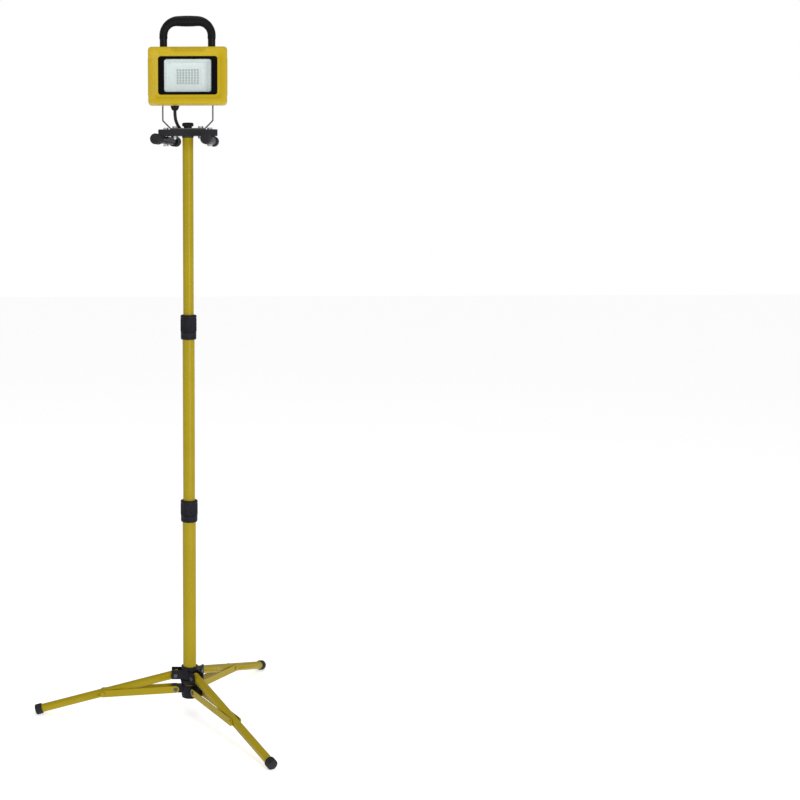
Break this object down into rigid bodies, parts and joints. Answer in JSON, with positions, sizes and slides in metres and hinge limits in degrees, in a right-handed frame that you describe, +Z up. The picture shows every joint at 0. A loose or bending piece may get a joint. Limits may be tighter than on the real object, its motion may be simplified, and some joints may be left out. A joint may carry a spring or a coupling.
{
  "type": "work light on tripod",
  "caption": "Floodlight with a yellow frame and carrying handle, tilting in a U-bracket on a small stand, clamped on a telescopic mast with a folding tripod base.",
  "frame": {"origin": "centre of the footprint, on the floor under the leg caps", "axes": "+Z up along the mast, the lamp faces -Y, +X to the lamp's right as seen from its front"},
  "size_m": [0.5571, 0.6346, 1.5725],
  "materials": {
    "head_yellow": "satin powder coat on cast aluminium",
    "black_bezel": "semi-gloss",
    "lens": "clear toughened",
    "gasket_rubber": "matte",
    "reflector_white": "satin white",
    "board_white": "white solder mask",
    "led_yellow": "phosphor resin",
    "plate_aluminium": "rolled",
    "driver_case": "stamped",
    "terminal_white": "moulded",
    "housing_black": "satin black powder coat on cast aluminium",
    "bolt_steel": "bright zinc",
    "handle_black": "satin black",
    "grip_rubber": "soft ribbed",
    "gland_black": "moulded",
    "bracket_grey": "satin dark grey",
    "crossbar_black": "satin black",
    "cap_rubber": "ribbed",
    "knob_black": "moulded",
    "washer_nylon": "moulded",
    "tube_yellow": "gloss powder coat",
    "mast_plastic": "moulded",
    "collet_white": "moulded",
    "cord_rubber": "matte",
    "plug_rubber": "moulded",
    "tie_black": "woven"
  },
  "bodies": {
    "mast": {"bottom_tube": "tube_yellow", "lower_lock_base": "mast_plastic", "lower_collet": "collet_white", "brace_hub": "mast_plastic", "brace_hub_pins": "bolt_steel", "mast_end_cap": "mast_plastic"},
    "leg_slider": {"leg_hub": "mast_plastic", "leg_hub_pins": "bolt_steel"},
    "slider_lock": {"hub_lock_nut": "mast_plastic"},
    "leg_a": {"leg_1": "tube_yellow", "leg_cap_1": "cap_rubber"},
    "leg_b": {"leg_2": "tube_yellow", "leg_cap_2": "cap_rubber"},
    "leg_c": {"leg_3": "tube_yellow", "leg_cap_3": "cap_rubber"},
    "brace_a": {"brace_1": "tube_yellow"},
    "brace_b": {"brace_2": "tube_yellow"},
    "brace_c": {"brace_3": "tube_yellow"},
    "lower_lock": {"lower_lock_nut": "mast_plastic"},
    "middle": {"middle_tube": "tube_yellow", "middle_bush": "mast_plastic", "upper_lock_base": "mast_plastic", "upper_collet": "collet_white"},
    "upper_lock": {"upper_lock_nut": "mast_plastic"},
    "top": {"top_tube": "tube_yellow", "top_plug": "mast_plastic", "top_bush": "mast_plastic"},
    "washer": {"swivel_washer": "washer_nylon"},
    "stand": {"u_bracket": "bracket_grey", "crossbar": "crossbar_black", "crossbar_caps": "cap_rubber", "bracket_bolts": "bolt_steel", "foot_bolts": "bolt_steel", "cord_runs": "cord_rubber", "cord_coil": "cord_rubber", "mains_plug": "plug_rubber", "cable_tie": "tie_black"},
    "knob": {"clamp_knob": "knob_black"},
    "left_foot": {"foot_left_tube": "crossbar_black", "foot_left_caps": "cap_rubber"},
    "right_foot": {"foot_right_tube": "crossbar_black", "foot_right_caps": "cap_rubber"},
    "head": {"front_frame": "head_yellow", "glass_bezel": "black_bezel", "lens_glass": "lens", "lens_gasket": "gasket_rubber", "reflector": "reflector_white", "led_board": "board_white", "led_chips": "led_yellow", "led_plate": "plate_aluminium", "led_driver": "driver_case", "terminal_block": "terminal_white", "heatsink_housing": "housing_black", "housing_screws": "bolt_steel", "handle_tube": "handle_black", "handle_grip": "grip_rubber", "handle_bolts": "bolt_steel", "gland_body": "gland_black", "gland_cap": "gland_black", "tilt_bolts": "bolt_steel"}
  },
  "joints": [
    {"name": "leg_slider_up", "type": "slide", "parent": "mast", "child": "leg_slider", "axis": [0, 0, 1], "range_m": [0, 0.30842]},
    {"name": "slider_lock_turn", "type": "hinge", "parent": "leg_slider", "child": "slider_lock", "pos_m": [0.083, 0.003, 0.082], "axis": [0, 0, 1], "range_deg": [0, 90]},
    {"name": "leg_a_fold", "type": "hinge", "parent": "leg_slider", "child": "leg_a", "pos_m": [0.05051, 0.00357, 0.098], "axis": [-0.0175, -0.9998, 0], "range_deg": [0, 68.92]},
    {"name": "brace_a_fold", "type": "hinge", "parent": "mast", "child": "brace_a", "pos_m": [0.05051, 0.00357, 0.064], "axis": [0.0175, 0.9998, 0], "range_deg": [0, 87.7]},
    {"name": "leg_b_fold", "type": "hinge", "parent": "leg_slider", "child": "leg_b", "pos_m": [0.09876, -0.02542, 0.098], "axis": [0.8746, 0.4848, 0], "range_deg": [0, 68.92]},
    {"name": "brace_b_fold", "type": "hinge", "parent": "mast", "child": "brace_b", "pos_m": [0.09876, -0.02542, 0.064], "axis": [-0.8746, -0.4848, 0], "range_deg": [0, 87.7]},
    {"name": "leg_c_fold", "type": "hinge", "parent": "leg_slider", "child": "leg_c", "pos_m": [0.09974, 0.03086, 0.098], "axis": [-0.8572, 0.515, 0], "range_deg": [0, 68.92]},
    {"name": "brace_c_fold", "type": "hinge", "parent": "mast", "child": "brace_c", "pos_m": [0.09974, 0.03086, 0.064], "axis": [0.8572, -0.515, 0], "range_deg": [0, 87.7]},
    {"name": "lower_lock_turn", "type": "hinge", "parent": "mast", "child": "lower_lock", "pos_m": [0.083, 0.003, 0.492], "axis": [0, 0, 1], "range_deg": [0, 90]},
    {"name": "middle_tube_slide", "type": "slide", "parent": "mast", "child": "middle", "axis": [0, 0, 1], "range_m": [-0.27, 0]},
    {"name": "upper_lock_turn", "type": "hinge", "parent": "middle", "child": "upper_lock", "pos_m": [0.083, 0.003, 0.912], "axis": [0, 0, 1], "range_deg": [0, 90]},
    {"name": "top_tube_slide", "type": "slide", "parent": "middle", "child": "top", "axis": [0, 0, 1], "range_m": [-0.385, 0]},
    {"name": "lamp_pan", "type": "hinge", "parent": "top", "child": "washer", "pos_m": [0.083, 0.003, 1.321], "axis": [0, 0, 1], "continuous": true},
    {"name": "lamp_lift_off", "type": "slide", "parent": "washer", "child": "stand", "axis": [0, 0, 1], "range_m": [0, 0.06]},
    {"name": "clamp_knob_turn", "type": "hinge", "parent": "stand", "child": "knob", "pos_m": [0.083, 0.003, 1.345], "axis": [0, 0, 1], "continuous": true},
    {"name": "left_foot_swivel", "type": "hinge", "parent": "stand", "child": "left_foot", "pos_m": [0.035, 0.003, 1.3132], "axis": [0, 0, 1], "range_deg": [-23, 57]},
    {"name": "right_foot_swivel", "type": "hinge", "parent": "stand", "child": "right_foot", "pos_m": [0.131, 0.003, 1.3132], "axis": [0, 0, 1], "range_deg": [-32, 48]},
    {"name": "head_tilt", "type": "hinge", "parent": "stand", "child": "head", "pos_m": [0.083, 0.003, 1.446], "axis": [1, 0, 0], "range_deg": [-90, 8], "deforming": ["cord_runs"]}
  ],
  "couplings": [
    {"joint": "leg_a_fold", "follows": "leg_slider_up", "rad_per_m": 3.9004},
    {"joint": "brace_a_fold", "follows": "leg_slider_up", "rad_per_m": 4.9628},
    {"joint": "leg_b_fold", "follows": "leg_slider_up", "rad_per_m": 3.9004},
    {"joint": "brace_b_fold", "follows": "leg_slider_up", "rad_per_m": 4.9628},
    {"joint": "leg_c_fold", "follows": "leg_slider_up", "rad_per_m": 3.9004},
    {"joint": "brace_c_fold", "follows": "leg_slider_up", "rad_per_m": 4.9628}
  ]
}
